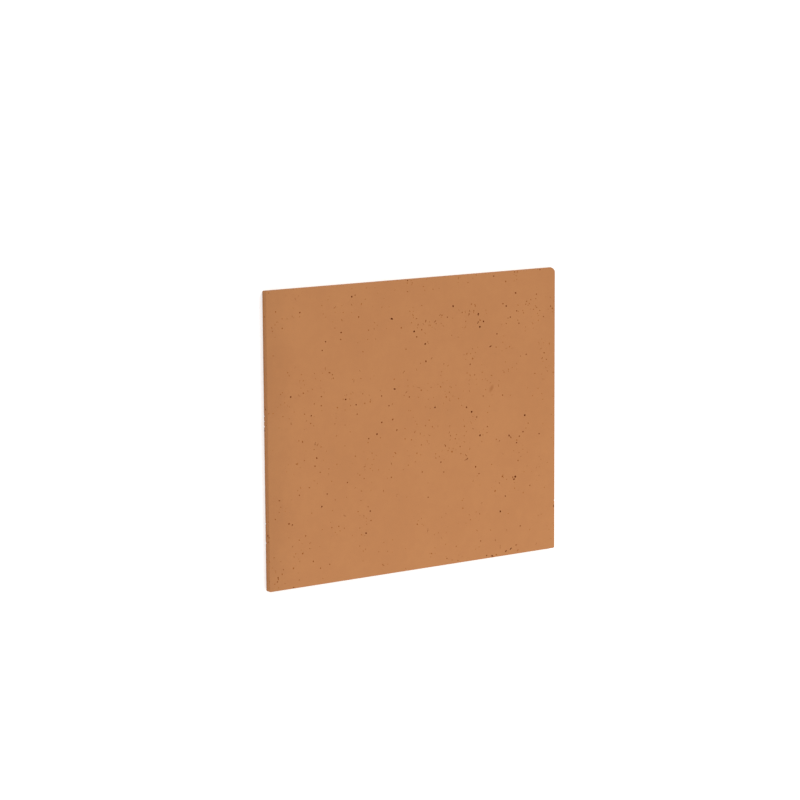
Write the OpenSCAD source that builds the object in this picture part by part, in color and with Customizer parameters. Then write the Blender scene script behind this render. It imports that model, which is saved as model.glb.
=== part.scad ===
// Concrete wall panel: a thin cladding slab of pigmented concrete, cast in one piece
// against a smooth mould. Millimetres, +Z up.
// The slab lies flat on its back with the show face up. +X runs along its width, and +Y
// towards the edge that is uppermost on the wall. The origin is the centre of the back face.

/* [Panel] */
// Width of the panel along the wall
panel_w = 600; // [300:5:1200]
// Height of the panel up the wall
panel_h = 500; // [250:5:1200]
// Thickness of the cast slab
panel_t = 10.5; // [8:0.5:30]

/* [Edges] */
// Radius of the arris, where the show face turns over into the four edges
arris_r = 1.0; // [0.3:0.1:1.2]
// Radius in plan of the crisp corners, where the mould's sides met
crisp_corner_r = 2.5; // [1.3:0.1:6]
// Radius in plan of the upper right corner at the show face; it is as crisp as the others
// at the back face
round_corner_r = 8.5; // [6:0.5:60]

/* [Hidden] */
$fn = 64;

// Corners anticlockwise from the lower left: [side in x, side in y, radius]
CORNERS = [
    [-1, -1, crisp_corner_r],
    [ 1, -1, crisp_corner_r],
    [ 1,  1, round_corner_r],
    [-1,  1, crisp_corner_r],
];
// Width of the strip along each edge, between its corners
strip_w = crisp_corner_r;

// Reach from the centre of a corner's arc, of this radius, to a crisp corner along the
// diagonal
function crisp_reach(radius) = radius * sqrt(2) - crisp_corner_r * (sqrt(2) - 1);

// Half section through an edge, from x = 0 out to the edge: at x = reach below the arris, and
// at x = back_reach on the back face
module edge_section(reach, back_reach) {
    polygon([[0, 0], [back_reach, 0], [reach, panel_t - arris_r], [0, panel_t - arris_r]]);
    square([reach - arris_r, panel_t]);
    translate([reach - arris_r, panel_t - arris_r])
        intersection() {
            circle(arris_r);
            square(arris_r);
        }
}

// Corner i: the section turned a quarter round the centre of the corner's arc. Where the
// corner flares to a crisp one at the back, the two edges' planes trim it.
module corner(i) {
    c = CORNERS[i];
    back_reach = crisp_reach(c[2]);
    translate([c[0] * (panel_w / 2 - c[2]), c[1] * (panel_h / 2 - c[2])])
        rotate(180 + 90 * i)
            if (back_reach > c[2])
                intersection() {
                    rotate_extrude(angle = 90)
                        edge_section(c[2], back_reach);
                    cube([c[2], c[2], panel_t]);
                }
            else
                rotate_extrude(angle = 90)
                    edge_section(c[2], c[2]);
}

// Strip i: the section run straight from corner i to the next one
module strip(i) {
    from_r = CORNERS[i][2];
    to_r = CORNERS[(i + 1) % len(CORNERS)][2];
    run = i % 2 == 0 ? panel_w : panel_h;
    span = i % 2 == 0 ? panel_h : panel_w;
    rotate(90 * i)
        translate([from_r - run / 2, strip_w - span / 2])
            rotate([90, 0, 90])
                linear_extrude(run - from_r - to_r)
                    mirror([1, 0])
                        edge_section(strip_w, strip_w);
}

// Field of the slab inside the strips, less the square that each corner fills
module field() {
    linear_extrude(panel_t)
        difference() {
            square([panel_w - 2 * strip_w, panel_h - 2 * strip_w], center = true);
            for (c = CORNERS)
                translate([c[0] * (panel_w - c[2]) / 2, c[1] * (panel_h - c[2]) / 2])
                    square(c[2], center = true);
        }
}

module panel() {
    color("#BE8356") {
        field();
        for (i = [0 : len(CORNERS) - 1]) {
            corner(i);
            strip(i);
        }
    }
}

panel();
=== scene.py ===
import math

import bpy
from mathutils import Matrix, Vector


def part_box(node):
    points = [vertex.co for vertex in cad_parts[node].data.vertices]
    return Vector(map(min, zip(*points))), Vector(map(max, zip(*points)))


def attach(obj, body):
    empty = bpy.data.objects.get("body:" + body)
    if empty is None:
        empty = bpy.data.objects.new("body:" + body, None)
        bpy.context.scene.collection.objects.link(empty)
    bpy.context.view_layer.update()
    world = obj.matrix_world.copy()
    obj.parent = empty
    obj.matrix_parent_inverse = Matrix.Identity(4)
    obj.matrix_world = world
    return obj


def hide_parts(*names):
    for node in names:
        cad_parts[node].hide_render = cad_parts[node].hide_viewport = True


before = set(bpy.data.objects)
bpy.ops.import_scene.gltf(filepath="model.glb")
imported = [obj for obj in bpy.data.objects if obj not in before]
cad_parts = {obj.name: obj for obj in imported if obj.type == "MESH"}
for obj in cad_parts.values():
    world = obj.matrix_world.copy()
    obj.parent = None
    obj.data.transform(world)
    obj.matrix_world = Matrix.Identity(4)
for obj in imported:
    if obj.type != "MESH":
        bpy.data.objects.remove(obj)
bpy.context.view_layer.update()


# ---- The panel --------------------------------------------------------------------------
# One thin slab of fine sand-and-cement concrete, pigmented terracotta all through and cast
# face down in a smooth mould. The show face is tight and matt, pitted by the air bubbles that
# clung to the mould, and the back is its open side, struck off and trowelled by hand.

MM = 0.001
low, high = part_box("panel")
width, height, thickness = high - low


class Wire:
    """An output socket in a node tree, or the bare tree itself where there is no socket.

    Arithmetic on wires adds Math nodes, or Vector Math nodes where a vector or a colour is
    among the values, and add() adds any other node.
    """

    def __init__(self, tree, socket=None):
        self.tree = tree
        self.socket = socket

    def add(self, kind, inputs=None, output=0, **settings):
        """Adds a node of this kind: first its settings, then its inputs' values and wires."""
        node = self.tree.nodes.new(kind)
        for name, value in settings.items():
            setattr(node, name, value)
        for name, value in (inputs or {}).items():
            self.feed(self.among(node.inputs, name), value)
        return Wire(self.tree, self.among(node.outputs, output)) if len(node.outputs) else node

    def feed(self, socket, value):
        """Plugs a wire, or a list of wires, into a socket, or sets its plain value."""
        if isinstance(value, Wire):
            self.tree.links.new(value.socket, socket)
        elif isinstance(value, list):
            for wire in value:
                self.tree.links.new(wire.socket, socket)
        else:
            socket.default_value = value

    @staticmethod
    def among(sockets, name):
        """The socket of that name, or of that number, that the node's settings leave in use."""
        if isinstance(name, int):
            in_use = [socket for socket in sockets if socket.enabled]
            return in_use[name]
        return next(socket for socket in sockets if socket.enabled and socket.name == name)

    def out(self, name):
        """Another output of the node that this wire comes from."""
        return Wire(self.tree, self.among(self.socket.node.outputs, name))

    def part(self, axis):
        """The X, Y or Z of a vector."""
        return self.add("ShaderNodeSeparateXYZ", {0: self}, axis)

    def calculate(self, operation, *values):
        """One Math node on the values, or one Vector Math node where a vector is among them."""
        if any(self.is_vector(value) for value in values):
            values = [(v, v, v) if isinstance(v, (int, float)) else v for v in values]
            return self.add("ShaderNodeVectorMath", dict(enumerate(values)), operation=operation)
        return self.add("ShaderNodeMath", dict(enumerate(values)), operation=operation)

    @staticmethod
    def is_vector(value):
        """Whether a value is a vector or a colour."""
        return (isinstance(value, tuple)
                or isinstance(value, Wire) and value.socket.type in ("VECTOR", "RGBA"))

    def math(self, operation, *others):
        """A Math or Vector Math node on this wire and the others."""
        return self.calculate(operation, self, *others)

    def __add__(self, other):
        return self.math("ADD", other)

    def __sub__(self, other):
        return self.math("SUBTRACT", other)

    def __rsub__(self, other):
        return self.calculate("SUBTRACT", other, self)

    def __mul__(self, other):
        return self.math("MULTIPLY", other)

    def __truediv__(self, other):
        return self.math("DIVIDE", other)

    def __rtruediv__(self, other):
        return self.calculate("DIVIDE", other, self)

    def __pow__(self, other):
        return self.math("POWER", other)

    def __abs__(self):
        return self.math("ABSOLUTE")

    __radd__ = __add__
    __rmul__ = __mul__

    def length(self):
        """The length of a vector."""
        return self.add("ShaderNodeVectorMath", {0: self}, "Value", operation="LENGTH")

    def above(self, limit):
        """1 where this wire is above the limit, and 0 elsewhere."""
        return self.math("GREATER_THAN", limit)

    def least(self, other):
        """The lesser of the two."""
        return self.math("MINIMUM", other)

    def most(self, other):
        """The greater of the two."""
        return self.math("MAXIMUM", other)

    def ramp(self, start, end):
        """A smooth step: 0 at start, 1 at end."""
        inputs = {"Value": self, "From Min": start, "From Max": end}
        return self.add("ShaderNodeMapRange", inputs, interpolation_type="SMOOTHSTEP")

    def mix(self, low, high):
        """low where this wire is 0, high where it is 1."""
        kind = "VECTOR" if self.is_vector(low) or self.is_vector(high) else "FLOAT"
        return self.add("ShaderNodeMix", {"Factor": self, "A": low, "B": high}, data_type=kind)


# The skin, and the rougher lining of the voids, whose darker colour is painted shade. The left
# border of the face is a little darker, and a soft stain lies right of the middle. Each TONE is
# how much its feature changes the colour's brightness, and each DEPTH is how far it stands up or
# lies down; the pinholes' darkening is painted shade. The widest pinhole is a share of its
# cell.
TERRACOTTA = (0.504, 0.217, 0.082)
REDDER = (0.502, 0.213, 0.080)
SKIN_ROUGHNESS, SKIN_SPECULAR = 0.78, 0.22
CLOUD_SIZE, CLOUD_TONE = 110 * MM, 0.07
BLOTCH_SIZE, BLOTCH_TONE = 16 * MM, 0.07
SAND_SIZE, SAND_TONE, SAND_DEPTH = 0.9 * MM, 0.09, 0.04 * MM
PINHOLE_CELL, PINHOLE_SHADE_TONE, PINHOLE_DEPTH = 3.2 * MM, 0.30, 0.12 * MM
WIDEST_PINHOLE = 0.16
RIPPLE_SIZE, RIPPLE_DEPTH = 5 * MM, 0.03 * MM
BORDER_WIDTH, BORDER_WANDER, BORDER_TONE = 65 * MM, 20 * MM, 0.07
STAINED = (0.330, 0.110, 0.026)
STAIN_AT = (0.160, 0.049)
STAIN_HALF_SIZE, STAIN_TURN, STAIN_STRENGTH = (10 * MM, 5 * MM), 58, 0.5
LAITANCE = (0.560, 0.285, 0.140)
LAITANCE_SHARE, LAITANCE_STREAKS = 0.55, 1.2
STRUCK_BELOW, STRUCK_FULLY = 0.9 * MM, 0.2 * MM
TROWEL_PIVOT = (0.45, -0.75, 0.0)
STROKE_SIZE, STROKE_DEPTH = 110 * MM, 1.2 * MM
STROKES_CLOSER = 5.0
# The lining's colours are painted shade: darker than the skin at a void's mouth, and darker still
# deeper in.
LINING_PAINTED_SHADE = (0.410, 0.145, 0.032)
LINING_DEEP_PAINTED_SHADE = (0.185, 0.030, 0.001)
LINING_ROUGHNESS, LINING_SPECULAR = 0.86, 0.15
SHADE_DEPTHS, SHADE_WANDER = (0.10 * MM, 1.0 * MM), 1.0 * MM
MOTTLE_SIZE, MOTTLE_DEPTH = 0.8 * MM, 0.12 * MM


def concrete(name):
    """A material with its tree, its shader and the place on the panel, in metres."""
    material = bpy.data.materials.new(name)
    material.use_nodes = True
    tree = Wire(material.node_tree)
    shader = material.node_tree.nodes["Principled BSDF"]
    place = tree.add("ShaderNodeTexCoord", output="Object")
    return material, tree, shader, place


def noise(place, grain, detail=2.0, roughness=0.5, distortion=0.0):
    """Noise about 0, from -0.5 to 0.5, whose lumps are one grain (in metres) across."""
    inputs = {"Vector": place, "Scale": 1 / grain, "Detail": detail, "Roughness": roughness,
              "Distortion": distortion}
    return place.add("ShaderNodeTexNoise", inputs, "Fac") - 0.5


skin, tree, shader, place = concrete("terracotta_skin")
clouds = noise(place, CLOUD_SIZE, 1.0)
blotches = noise(place, BLOTCH_SIZE, 2.0)
sand = noise(place, SAND_SIZE, 2.0, 0.6)
pin_cells = tree.add("ShaderNodeTexVoronoi", {"Vector": place, "Scale": 1 / PINHOLE_CELL})
pin_size = pin_cells.out("Color").part("X") * WIDEST_PINHOLE
pinholes = pin_cells.ramp(pin_size, pin_size * 0.4)
struck = (place.part("Z") - low.z).ramp(STRUCK_BELOW, STRUCK_FULLY)
swing = (place - TROWEL_PIVOT).length()
strokes = tree.add("ShaderNodeCombineXYZ", {
    "X": swing * STROKES_CLOSER, "Y": place.part("X"), "Z": place.part("Y")})
sweeps = noise(strokes, STROKE_SIZE, 3.0, 0.6, 0.5)
smudge = tree.add("ShaderNodeMapping", {
    "Vector": place, "Location": (*STAIN_AT, high.z),
    "Rotation": (0.0, 0.0, math.radians(STAIN_TURN)),
    "Scale": (*STAIN_HALF_SIZE, STAIN_HALF_SIZE[0])}, vector_type="TEXTURE")
stain = smudge.length().ramp(1.0, 0.2)
border = (place.part("X") - low.x + blotches * BORDER_WANDER).ramp(BORDER_WIDTH, 0.0)
tone = (1.0 + clouds * CLOUD_TONE) * (1.0 + blotches * BLOTCH_TONE) * (1.0 + sand * SAND_TONE)
# The pinholes' darkening is painted shade, in pores that are only bumps.
tone = tone * (1.0 - pinholes * PINHOLE_SHADE_TONE) * (1.0 - border * BORDER_TONE)
colour = (blotches + clouds).ramp(-0.15, 0.20).mix(REDDER, TERRACOTTA)
colour = (stain * STAIN_STRENGTH).mix(colour, STAINED)
colour = (struck * (LAITANCE_SHARE + sweeps * LAITANCE_STREAKS)).mix(colour, LAITANCE) * tone
relief = sand * SAND_DEPTH + noise(place, RIPPLE_SIZE) * RIPPLE_DEPTH - pinholes * PINHOLE_DEPTH
relief = relief + struck * sweeps * STROKE_DEPTH
bump = tree.add("ShaderNodeBump", {"Height": relief, "Distance": 1.0, "Strength": 0.7})
tree.feed(shader.inputs["Base Color"], colour)
tree.feed(shader.inputs["Roughness"], SKIN_ROUGHNESS + blotches * 0.20 + struck * 0.08)
tree.feed(shader.inputs["Normal"], bump)
shader.inputs["Specular IOR Level"].default_value = SKIN_SPECULAR

# The voids' lining is rougher than the skin, and its colour is painted shade.
lining_painted_shade, tree, shader, place = concrete("terracotta_lining_painted_shade")
mottle = noise(place, MOTTLE_SIZE, 2.0)
# Painted shade: the farther a point lies in from the face or the edges, the darker.
to_edges = (width / 2 - abs(place.part("X"))).least(height / 2 - abs(place.part("Y")))
in_from_skin = (high.z - place.part("Z")).least(to_edges)
depth_shade = (in_from_skin + mottle * SHADE_WANDER).ramp(*SHADE_DEPTHS)
tree.feed(shader.inputs["Base Color"], depth_shade.mix(LINING_PAINTED_SHADE, LINING_DEEP_PAINTED_SHADE))
tree.feed(shader.inputs["Roughness"], LINING_ROUGHNESS + mottle * 0.10)
rough_wall = tree.add("ShaderNodeBump", {"Height": mottle * MOTTLE_DEPTH, "Distance": 1.0})
tree.feed(shader.inputs["Normal"], rough_wall)
shader.inputs["Specular IOR Level"].default_value = LINING_SPECULAR

# The slab. Its show face turns over into the four edges through a small arris. Three corners
# are as crisp as the mould's joints all through, and the upper right one is rounded at the
# face and flares to a crisp one at the back.
casting = bpy.data.node_groups.new("casting", "GeometryNodeTree")
bench = Wire(casting)
chosen = {}
for direction in ("INPUT", "OUTPUT"):
    casting.interface.new_socket("Geometry", in_out=direction, socket_type="NodeSocketGeometry")


def size(name, value):
    """Names one of the casting's sizes, as an input of its tree: metres, or a count."""
    kind = "NodeSocketInt" if isinstance(value, int) else "NodeSocketFloat"
    socket = casting.interface.new_socket(name, in_out="INPUT", socket_type=kind)
    chosen[socket.identifier] = value
    return bench.add("NodeGroupInput", output=name)


def store(geometry, name, value, kind="FLOAT", domain="POINT"):
    """Keeps a value on the geometry, for read()."""
    inputs = {"Geometry": geometry, "Name": name, "Value": value}
    return bench.add("GeometryNodeStoreNamedAttribute", inputs, data_type=kind, domain=domain)


def read(name, kind="FLOAT"):
    """A value that store() has kept."""
    return bench.add("GeometryNodeInputNamedAttribute", {"Name": name}, data_type=kind)


def vector(x=0.0, y=0.0, z=0.0):
    return bench.add("ShaderNodeCombineXYZ", {"X": x, "Y": y, "Z": z})


panel_w = size("Width", width)
panel_h = size("Height", height)
panel_t = size("Thickness", thickness)
arris_r = size("Arris radius", 1.0 * MM)
back_arris = size("Back arris", 0.3 * MM)
crisp_r = size("Crisp corner radius", 2.5 * MM)
round_r = size("Round corner radius", 8.5 * MM)

# How finely the slab is divided: the cells over half of each side, the cells in each corner
# and how strongly these close up, and the steps round the arris and down the edge.
FIELD_CELLS = (24, 20)
CORNER_CELLS = 8
CLOSING = 1.6
ARC_STEPS = 5
SIDE_STEPS = 6

position = bench.add("GeometryNodeInputPosition")
corner_zone = round_r - arris_r


def grid_line(unit, half, field_cells):
    """Distance of a grid line from the middle. The lines are even over the field and close
    up towards the edge, so that the corners' arcs have enough points."""
    run = abs(unit)
    field_share = field_cells / (field_cells + CORNER_CELLS)
    even = run / field_share * (half - corner_zone)
    left = ((1 - run) / (1 - field_share)).most(0.0)
    return run.above(field_share).mix(even, half - corner_zone * left ** CLOSING)


# A plate that ends where the arris starts keeps, at each point, its outline in plan, the way
# outward from the nearest corner's centre, and how far the rounding lies in from the edges.
plate = bench.add("GeometryNodeMeshGrid", {
    "Size X": 2.0, "Vertices X": 2 * (FIELD_CELLS[0] + CORNER_CELLS) + 1,
    "Size Y": 2.0, "Vertices Y": 2 * (FIELD_CELLS[1] + CORNER_CELLS) + 1})
unit_x, unit_y = position.part("X"), position.part("Y")
half_x, half_y = panel_w / 2 - arris_r, panel_h / 2 - arris_r
line_x = grid_line(unit_x, half_x, FIELD_CELLS[0])
line_y = grid_line(unit_y, half_y, FIELD_CELLS[1])
upper_right = unit_x.above(0.0) * unit_y.above(0.0)
corner_r = upper_right.mix(crisp_r, round_r) - arris_r
core_x, core_y = line_x.least(half_x - corner_r), line_y.least(half_y - corner_r)
past_x, past_y = line_x - core_x, line_y - core_y
past = vector(past_x, past_y)
past_length = past.length().most(1e-9)
squeeze = past_x.most(past_y) / past_length
quarter = vector(unit_x.math("SIGN"), unit_y.math("SIGN"))
to_planes = upper_right * round_r * (1 / squeeze.most(math.sqrt(0.5)) - 1)
plate = store(plate, "outward", past / past_length * quarter, "FLOAT_VECTOR")
plate = store(plate, "to_planes", to_planes)
plate = store(plate, "outline", (vector(core_x, core_y) + past * squeeze) * quarter,
              "FLOAT_VECTOR")
outline, outward = read("outline", "FLOAT_VECTOR"), read("outward", "FLOAT_VECTOR")
back = bench.add("GeometryNodeSetPosition", {"Geometry": plate, "Position": outline})
body = bench.add("GeometryNodeSetPosition", {"Geometry": back, "Offset": vector(z=panel_t)})

# The section runs from the face, over the arris, down the edge and round the back arris: how
# far out of the plate each ring of points lies, and how high.
section = []
for step in range(1, ARC_STEPS + 1):
    angle = math.radians(90 * step / ARC_STEPS)
    section.append((arris_r * math.sin(angle), panel_t - arris_r * (1 - math.cos(angle))))
edge_top = panel_t - arris_r
for step in range(1, SIDE_STEPS + 1):
    fall = step / SIDE_STEPS
    section.append((arris_r, edge_top * (1 - fall) + back_arris * fall))
section.append((arris_r - back_arris * 0.3, back_arris * 0.3))
section.append((arris_r - back_arris, 0.0))
rim = bench.add("GeometryNodeInputMeshEdgeNeighbors").math("LESS_THAN", 1.5)


def draw_ring(body, outset, level):
    """Draws the body's open rim out to another ring of points."""
    drawn = bench.add("GeometryNodeExtrudeMesh", {
        "Mesh": body, "Selection": rim, "Offset Scale": 0.0}, mode="EDGES")
    return bench.add("GeometryNodeSetPosition", {
        "Geometry": drawn, "Selection": drawn.out("Top"),
        "Position": outline + outward * outset + vector(z=level)})


flare_at_back = (round_r - crisp_r) * (math.sqrt(2) - 1)
for outset, level in section:
    flare = (flare_at_back * (1 - level / edge_top)).most(0.0).least(read("to_planes"))
    body = draw_ring(body, outset + flare, level)
body = draw_ring(body, 0.0, 0.0)
back = bench.add("GeometryNodeFlipFaces", {"Mesh": back})
slab = bench.add("GeometryNodeJoinGeometry", {"Geometry": [body, back]})
slab = bench.add("GeometryNodeMergeByDistance", {"Geometry": slab, "Distance": 1e-6})
slab = store(slab, "void_wall", 0.0, domain="FACE")

# Air voids, cut into the slab with lumpy balls. Most are 1.3 to 2.5 mm wide. They gather in
# loose clusters, more of them right of the middle, and the widest are placed one by one.
BUBBLE_SHAPES = 6
LUMP_SCALE, LUMP_HEIGHT = 1.2, 0.9
LARGE = 3.0 * MM
ROUNDISH = 1.5
RAISED = 0.15
RUN_BUBBLES = 3
RUN_WIDTHS = (0.6, 1.35)
RUN_MIDDLE = (0.7, 1.3)
RUN_ASIDE = 0.25

voids_each = size("Voids per square metre", 2000.0)
void_least = size("Narrowest void", 1.3 * MM)
void_spread = size("Mean width over the narrowest", 1.1 * MM)
void_most = size("Widest scattered void", 2.9 * MM)
nicks_each = size("Nicks per square metre of arris", 14000.0)
seed = size("Seed", 4)


def bubbles(subdivisions):
    """A few lumpy balls, of radius 1, to choose from."""
    shapes = []
    for shape in range(BUBBLE_SHAPES):
        ball = bench.add("GeometryNodeMeshIcoSphere", {
            "Radius": 1.0, "Subdivisions": subdivisions})
        inputs = {"Vector": position, "W": 1.7 * shape, "Scale": LUMP_SCALE}
        lumps = bench.add("ShaderNodeTexNoise", inputs, "Color", noise_dimensions="4D")
        ball = bench.add("GeometryNodeSetPosition", {
            "Geometry": ball, "Offset": (lumps - (0.5, 0.5, 0.5)) * LUMP_HEIGHT})
        ball = store(ball, "void_wall", 1.0, domain="FACE")
        shapes.append(bench.add("GeometryNodeGeometryToInstance", {"Geometry": ball}))
    return bench.add("GeometryNodeJoinGeometry", {"Geometry": shapes})


def random(least, most, offset):
    """A random value at each point, from a draw of its own for each offset."""
    inputs = {"Min": least, "Max": most, "Seed": seed + offset}
    return bench.add("FunctionNodeRandomValue", inputs, data_type="FLOAT")


small_bubbles, large_bubbles = bubbles(2), bubbles(3)


def cutters(points, rotation, across, stretch, turn, depth):
    """Bubbles at the points, where Z points out of the slab: so wide across, stretched and
    turned in the surface, and so deep for their width. They are raised a little, so that
    nothing is undercut. A void that is stretched past ROUNDISH is a run of bubbles, which join
    or lie in a row."""
    for name, value in (("across", across), ("stretch", stretch), ("turn", turn),
                        ("depth", depth)):
        points = store(points, name, value)
    across, stretch, turn, depth = read("across"), read("stretch"), read("turn"), read("depth")
    in_run = stretch.above(ROUNDISH)
    points = bench.add("GeometryNodeDuplicateElements", {
        "Geometry": points, "Amount": 1 + in_run * (RUN_BUBBLES - 1)}, domain="POINT")
    spin = bench.add("FunctionNodeAxisAngleToRotation", {"Axis": (0.0, 0.0, 1.0), "Angle": turn})
    rotation = bench.add("FunctionNodeRotateRotation", {
        "Rotation": rotation, "Rotate By": spin}, rotation_space="LOCAL")
    wide = across / stretch ** 0.5 * in_run.mix(1.0, random(*RUN_WIDTHS, 12))
    long = wide * stretch.least(ROUNDISH)
    step = (across * stretch ** 0.5 - long) / (RUN_BUBBLES - 1)
    ahead = (points.out("Duplicate Index") - random(*RUN_MIDDLE, 14)) * step * in_run
    aside = across * random(-RUN_ASIDE, RUN_ASIDE, 13) * in_run
    deep = across * depth / 2
    offset = bench.add("FunctionNodeRotateVector", {
        "Vector": vector(ahead, aside, deep * RAISED), "Rotation": rotation})
    points = bench.add("GeometryNodeSetPosition", {"Geometry": points, "Offset": offset})
    large = long.above(LARGE)
    made = []
    for shapes, picked in ((small_bubbles, 1 - large), (large_bubbles, large)):
        made.append(bench.add("GeometryNodeInstanceOnPoints", {
            "Points": points, "Selection": picked, "Instance": shapes, "Pick Instance": True,
            "Rotation": rotation, "Scale": vector(long / 2, wide / 2, deep)}))
    return made


# Scattered voids. On the face they thin out from a busy place, and gather in loose clusters
# and in some tight knots. There are fewer on the edges, and few on the trowelled back.
BUSY_AT = (0.085, 0.05, 0.0)
BUSY_REACH = (0.33, 0.02)
FAR_SHARE, BUSY_EXTRA = 0.85, 0.5
CLUSTER_SIZE, CLUSTER_REACH = 55 * MM, (0.42, 0.66)
SPARSE, CROWDED, KNOTTED = 0.15, 2.2, 5.0
KNOT_CELL, KNOT_REACH = 75 * MM, (0.24, 0.08)
KNOTTED_CELLS = 0.5
EDGE_SHARE, BACK_SHARE = 0.7, 0.12
ROUND_SHARE = 0.60
ROUND_STRETCH, LONG_STRETCH = (1.0, 1.35), (1.8, 5.0)
SCATTERED_DEPTH = (0.25, 0.65)

facing = bench.add("GeometryNodeInputNormal").part("Z")
from_busy = ((position - BUSY_AT) * (1.0, 1.0, 0.0)).length()
trend = from_busy.ramp(*BUSY_REACH) * BUSY_EXTRA + FAR_SHARE
clusters = bench.add("ShaderNodeTexNoise", {
    "Vector": position, "W": 3.0, "Scale": 1 / CLUSTER_SIZE, "Detail": 3.0, "Roughness": 0.7},
    "Fac", noise_dimensions="4D")
knots = bench.add("ShaderNodeTexVoronoi", {
    "Vector": position, "Scale": 1 / KNOT_CELL}, "Distance", voronoi_dimensions="2D")
in_knot = knots.ramp(*KNOT_REACH) * knots.out("Color").part("X").above(1 - KNOTTED_CELLS)
face_share = trend * (clusters.ramp(*CLUSTER_REACH).mix(SPARSE, CROWDED) + in_knot * KNOTTED)
share = facing.above(0.5).mix(facing.above(-0.5).mix(BACK_SHARE, EDGE_SHARE), face_share)
scatter = bench.add("GeometryNodeDistributePointsOnFaces", {
    "Mesh": slab, "Density": voids_each * share, "Seed": seed}, distribute_method="RANDOM")
rarest = ((void_least - void_most) / void_spread).math("EXPONENT")
across = void_least - random(rarest, 1.0, 1).math("LOGARITHM", math.e) * void_spread
long_one = random(0.0, 1.0, 2).above(ROUND_SHARE)
voids = cutters(scatter, scatter.out("Rotation"), across,
                long_one.mix(random(*ROUND_STRETCH, 3), random(*LONG_STRETCH, 4)),
                random(0.0, 2 * math.pi, 5), random(*SCATTERED_DEPTH, 6))

# Small nicks along the arris, where the mould's joints held the skin back.
ARRIS_FROM, ARRIS_TO = 0.2, 0.95
NICK_WIDTH, NICK_STRETCH, NICK_DEPTH = (0.5 * MM, 1.3 * MM), (1.3, 3.0), (0.3, 0.8)

on_arris = facing.above(ARRIS_FROM) * (1 - facing.above(ARRIS_TO))
nicks = bench.add("GeometryNodeDistributePointsOnFaces", {
    "Mesh": slab, "Density": nicks_each * on_arris, "Seed": seed + 8},
    distribute_method="RANDOM")
along = nicks.out("Normal").math("CROSS_PRODUCT", (0.0, 0.0, 1.0))
lengthwise = bench.add("FunctionNodeAlignRotationToVector", {
    "Rotation": nicks.out("Rotation"), "Vector": along}, axis="X", pivot_axis="Z")
voids += cutters(nicks, lengthwise, random(*NICK_WIDTH, 9), random(*NICK_STRETCH, 10), 0.0,
                 random(*NICK_DEPTH, 11))

# The voids that stand out most, one by one: x and y from the middle of the face, in
# millimetres, under the width that they share. The long ones have their own width, stretch,
# and turn in degrees, and those in an edge their height above the back too. The wider, the
# deeper.
ROUND_VOIDS = {
    3.8: [(135, -31), (179, -170)],
    3.6: [(135, 158), (233, -5), (117, 12), (-4, 161)],
    3.4: [(-82, -7), (143, 167), (78, 198), (19, 138)],
    3.1: [(-106, -174), (-254, 72), (-72, 12), (-195, -118), (192, 190), (-145, 58), (-131, 229),
          (39, 27), (106, 21)],
    2.8: [(-254, -142), (-99, -13), (265, -41), (-124, 47), (-214, 37), (112, 182), (215, 180),
          (201, 170), (220, 158), (172, 143), (114, 95), (184, 35), (128, 2), (229, -34),
          (221, -41), (215, -52), (51, -69), (190, -144), (223, -201), (149, -245),
          (-97, -137)],
    2.6: [(-184, 158), (-191, 144), (-72, 57), (-194, 52), (-57, 39), (-122, 31), (236, 102),
          (151, -17), (57, -87), (63, -239), (-143, -83), (-53, -84), (-184, -98)],
}
LONG_VOIDS = [
    (212, -112, 3.2, 1.6, 50), (209, -116, 2.8, 2.2, 42), (198, -38, 3.0, 2.2, -60),
    (202, -41, 2.7, 2.4, -35), (107, -69, 3.1, 2.4, 25), (103, -71, 2.4, 2.2, 35),
    (132, 180, 3.4, 2.9, 53), (131, 166, 2.8, 3.0, 60), (-50, 186, 3.6, 2.2, -15),
    (-45, 66, 3.5, 2.2, -10), (158, 123, 3.0, 3.0, 18), (202, -239, 3.4, 3.0, 28),
    (191, -242, 2.9, 2.3, 45), (214, -234, 2.6, 2.6, 20), (161, -247, 3.2, 1.8, 0),
    (-283, -230, 2.1, 2.2, 60), (-285, -234, 2.2, 2.2, 58), (-153, 171, 2.6, 1.6, 0),
    (165, 244, 2.6, 1.7, 0), (213, 211, 2.6, 1.7, 0), (20, 108, 2.6, 1.8, 90),
    (125, -85, 2.6, 1.7, 90), (-41, -4, 2.6, 1.8, 45), (252, 180, 2.0, 2.0, -30),
    (259, 183, 2.0, 1.8, -40), (266, 177, 1.9, 2.0, -30), (235, 190, 2.0, 1.8, 20),
    (240, 188, 1.9, 1.5, 70), (237, 195, 1.9, 1.8, -20), (246, 197, 2.0, 2.0, 10),
]
EDGE_VOIDS = [
    (-300, 55, 5, 2.4, 2.4, 90), (-300, -155, 7, 2.9, 1.9, -45), (-300, -158, 10, 2.7, 1.8, -45),
    (-300, 43, 0.5, 3.2, 1.3, 90), (-300, 35, 0.5, 3.2, 1.3, 90), (-300, 26, 0.5, 3.2, 1.3, 90),
    (-300, 20, 1.5, 3.2, 1.3, 90), (-300, -136, 0.5, 3.0, 1.3, 90),
    (-300, -169, 0.5, 3.4, 1.5, 90), (-253, -248, 10.5, 2.7, 1.3, 0), (-156, -250, 10, 2.4, 1.4, 0),
    (266, 248.5, 10.5, 2.5, 1.3, 0), (-57, 250, 10, 2.4, 1.4, 0), (300, -164, 10, 3.2, 1.3, 90),
    (297.6, -174, 10.5, 2.8, 2.6, 90),
]

DEEPENING = (2.0 * MM, 3.8 * MM)
GIVEN_DEPTH = (0.6, 1.05)
DEPTH_VARIES = (0.85, 1.15)

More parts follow.
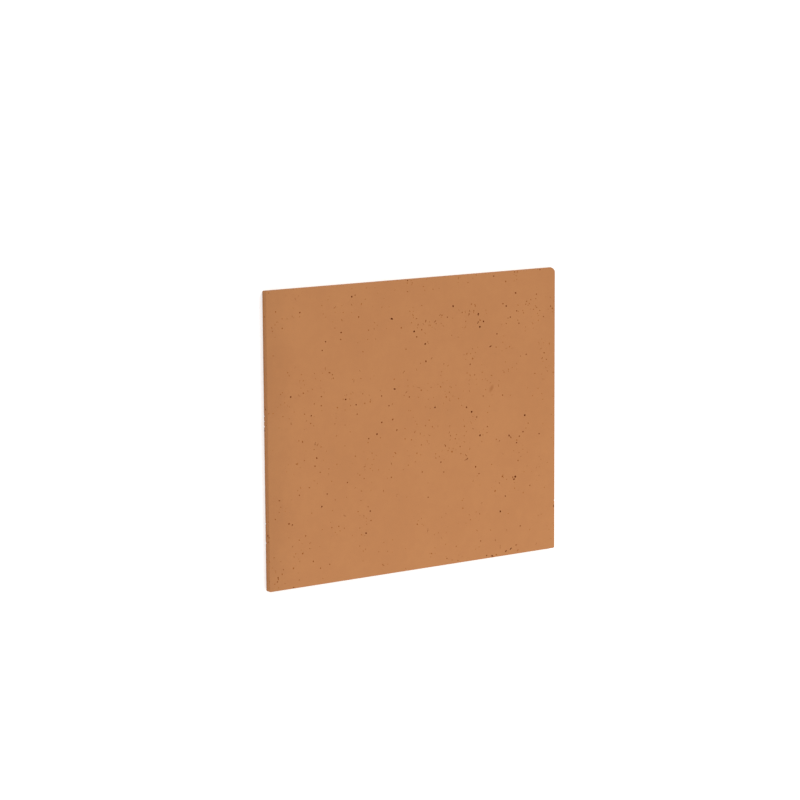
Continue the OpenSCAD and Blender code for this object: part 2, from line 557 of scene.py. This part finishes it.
face_z = thickness / MM
given_voids = [(x, y, face_z, across, 1.0, 0)
               for across, places in ROUND_VOIDS.items() for x, y in places]
given_voids += [(x, y, face_z, *shape) for x, y, *shape in LONG_VOIDS]
given_voids += EDGE_VOIDS
marks = bpy.data.meshes.new("given_voids")
marks.from_pydata([Vector(void[:3]) * MM for void in given_voids], [], [])
for name, column, unit in (("across", 3, MM), ("stretch", 4, 1.0), ("turn", 5, math.radians(1))):
    attribute = marks.attributes.new(name, "FLOAT", "POINT")
    for value, void in zip(attribute.data, given_voids):
        value.value = void[column] * unit
given = bench.add("NodeGroupInput", output="Geometry")
surface = bench.add("GeometryNodeSampleNearestSurface", {
    "Mesh": slab, "Value": bench.add("GeometryNodeInputNormal")}, data_type="FLOAT_VECTOR")
upright = bench.add("FunctionNodeAlignRotationToVector", {"Vector": surface}, axis="Z")
deepness = read("across").ramp(*DEEPENING).mix(*GIVEN_DEPTH) * random(*DEPTH_VARIES, 7)
voids += cutters(bench.add("GeometryNodeMeshToPoints", {"Mesh": given}), upright,
                 read("across"), read("stretch"), read("turn"), deepness)

SHARP = math.radians(40)
cast = bench.add("GeometryNodeMeshBoolean", {"Mesh 1": slab, "Mesh 2": voids},
                 operation="DIFFERENCE", solver="MANIFOLD")
sharp = bench.add("GeometryNodeInputMeshEdgeAngle").above(SHARP)
flat = abs(facing).above(0.999)
cast = bench.add("GeometryNodeSetShadeSmooth", {"Geometry": cast, "Shade Smooth": 1 - sharp},
                 domain="EDGE")
cast = bench.add("GeometryNodeSetShadeSmooth", {"Geometry": cast, "Shade Smooth": 1 - flat},
                 domain="FACE")

# The map that the baked image lies on. The face takes most of it, and the back and the four
# edges lie in a row above, with gaps between them. Each polygon goes with the side that it is
# nearest to.
GAP = 0.005
FACE_MAP_W, BACK_MAP_W = 0.86, 0.31
EDGE_MAP_L, EDGE_MAP_W = 0.65, 0.055

face_map_h = FACE_MAP_W * panel_h / panel_w
row = face_map_h + 2 * GAP
across_x, across_y = position.part("X") / panel_w + 0.5, position.part("Y") / panel_h + 0.5
up = position.part("Z") / panel_t
middle = bench.add("GeometryNodeFieldOnDomain", {"Value": position},
                   data_type="FLOAT_VECTOR", domain="FACE")
sides = [
    # how far the polygon's middle lies in from the side, and the place on the map
    (panel_t - middle.part("Z"), GAP + across_x * FACE_MAP_W, GAP + across_y * face_map_h),
    (middle.part("Z"), GAP + (1 - across_x) * BACK_MAP_W,
     row + across_y * (BACK_MAP_W * panel_h / panel_w)),
]
for number, (inward, run) in enumerate([
        (panel_w / 2 + middle.part("X"), across_y), (panel_w / 2 - middle.part("X"), across_y),
        (panel_h / 2 + middle.part("Y"), across_x), (panel_h / 2 - middle.part("Y"), across_x)]):
    strip = row + number * (EDGE_MAP_W + GAP)
    sides.append((inward, 2 * GAP + BACK_MAP_W + run * EDGE_MAP_L, strip + up * EDGE_MAP_W))
nearest, *spot = sides[0]
for inward, *spot_there in sides[1:]:
    closer = inward.math("LESS_THAN", nearest)
    spot = [closer.mix(kept, there) for kept, there in zip(spot, spot_there)]
    nearest = nearest.least(inward)
cast = store(cast, "OFBake", vector(*spot), "FLOAT2", "CORNER")
cast = bench.add("GeometryNodeRealizeInstances", {"Geometry": cast})
cast = bench.add("GeometryNodeSetMaterial", {"Geometry": cast, "Material": skin})
cast = bench.add("GeometryNodeSetMaterial", {
    "Geometry": cast, "Selection": read("void_wall"), "Material": lining_painted_shade})
bench.add("NodeGroupOutput", {"Geometry": cast})

# The marks carry the casting's tree, and what it makes is kept as a plain mesh. Its first
# material slot is empty, as the balls and the plate are made without a material.
holder = bpy.data.objects.new("casting", marks)
bpy.context.scene.collection.objects.link(holder)
modifier = holder.modifiers.new("casting", "NODES")
modifier.node_group = casting
for identifier, value in chosen.items():
    modifier[identifier] = value
evaluated = holder.evaluated_get(bpy.context.evaluated_depsgraph_get())
mesh = bpy.data.meshes.new_from_object(evaluated)
mesh.materials.pop(index=0)
bpy.data.objects.remove(holder)
panel = bpy.data.objects.new("cast_panel", mesh)
bpy.context.scene.collection.objects.link(panel)
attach(panel, "root")
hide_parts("panel")


# ---- Floor ------------------------------------------------------------------------------
# A plain white studio floor that the panel lies on. The camera sees it as pure white, except
# where the panel shades it.

FLOOR_HALF = 3.0
FLOOR_GAP = 0.05 * MM
FLOOR_PAINT = 0.80
FLOOR_GLOW = 0.46

floor_z = low.z - FLOOR_GAP
floor_mesh = bpy.data.meshes.new("floor")
corners = [(-1, -1), (1, -1), (1, 1), (-1, 1)]
floor_mesh.from_pydata([(x * FLOOR_HALF, y * FLOOR_HALF, floor_z) for x, y in corners],
                       [], [(0, 1, 2, 3)])
floor = bpy.data.objects.new("studio_floor", floor_mesh)
bpy.context.scene.collection.objects.link(floor)
white = bpy.data.materials.new("studio_white")
white.use_nodes = True
tree = Wire(white.node_tree)
shader = white.node_tree.nodes["Principled BSDF"]
shader.inputs["Base Color"].default_value = (FLOOR_PAINT, FLOOR_PAINT, FLOOR_PAINT, 1.0)
shader.inputs["Roughness"].default_value = 0.9
shader.inputs["Specular IOR Level"].default_value = 0.0
paint = Wire(white.node_tree, shader.outputs[0])
glow = tree.add("ShaderNodeEmission", {"Color": (1.0, 1.0, 1.0, 1.0), "Strength": FLOOR_GLOW})
lit = tree.add("ShaderNodeAddShader", {0: paint, 1: glow})
rays = tree.add("ShaderNodeLightPath", output="Is Camera Ray")
seen = rays.most(rays.out("Is Glossy Ray"))
floor_look = tree.add("ShaderNodeMixShader", {0: seen, 1: paint, 2: lit})
tree.feed(white.node_tree.nodes["Material Output"].inputs["Surface"], floor_look)
floor_mesh.materials.append(white)


# ---- Light ------------------------------------------------------------------------------
# An even white room, and three large soft lamps: the key beyond the upper right corner, whose
# shadow falls to the lower left, a fill below the lower edge, which brightens that half of
# the face a little, and a weak fill on the left edge.

ROOM = 0.54
LAMPS = [
    # name, the way to it, how far away and how wide in metres, share of the light on the face
    ("key", (0.50, 0.60, 0.62), 8.0, 3.5, 0.25),
    ("low_fill", (0.15, -0.72, 0.65), 1.9, 1.0, 0.19),
    ("left_fill", (-0.95, 0.00, 0.30), 6.0, 3.0, 0.06),
]

world = bpy.data.worlds.new("studio")
bpy.context.scene.world = world
world.use_nodes = True
tree = Wire(world.node_tree)
background = world.node_tree.nodes["Background"]
background.inputs["Color"].default_value = (1.0, 1.0, 1.0, 1.0)
rays = tree.add("ShaderNodeLightPath", output="Is Camera Ray")
seen = rays.most(rays.out("Is Glossy Ray"))
tree.feed(background.inputs["Strength"], seen.mix(ROOM, 1.0))

for name, way, away, wide, share in LAMPS:
    way = Vector(way).normalized()
    lamp_data = bpy.data.lights.new(name, "AREA")
    lamp_data.size = wide
    lamp_data.energy = share * math.pi ** 2 * away ** 2 / way.z
    lamp = bpy.data.objects.new(name, lamp_data)
    lamp.location = way * away
    lamp.rotation_euler = way.to_track_quat("Z", "Y").to_euler()
    bpy.context.scene.collection.objects.link(lamp)


# ---- Camera -----------------------------------------------------------------------------
# It looks down on the face from the left and a little from above the upper edge.

AIM = Vector((-0.0342, 0.0467, high.z))
AWAY = 4.6088
YAW, PITCH, ROLL = math.radians(35.28), math.radians(8.655), math.radians(0.361)
SENSOR, LENS = 36.0, 122.70

camera_data = bpy.data.cameras.new("camera")
camera_data.sensor_width = SENSOR
camera_data.lens = LENS
camera = bpy.data.objects.new("camera", camera_data)
turn = (Matrix.Rotation(-YAW, 4, "Y") @ Matrix.Rotation(-PITCH, 4, "X")
        @ Matrix.Rotation(-ROLL, 4, "Z"))
camera.matrix_world = Matrix.Translation(AIM) @ turn @ Matrix.Translation((0.0, 0.0, AWAY))
bpy.context.scene.collection.objects.link(camera)
bpy.context.scene.camera = camera
bpy.context.scene.view_settings.view_transform = "Standard"
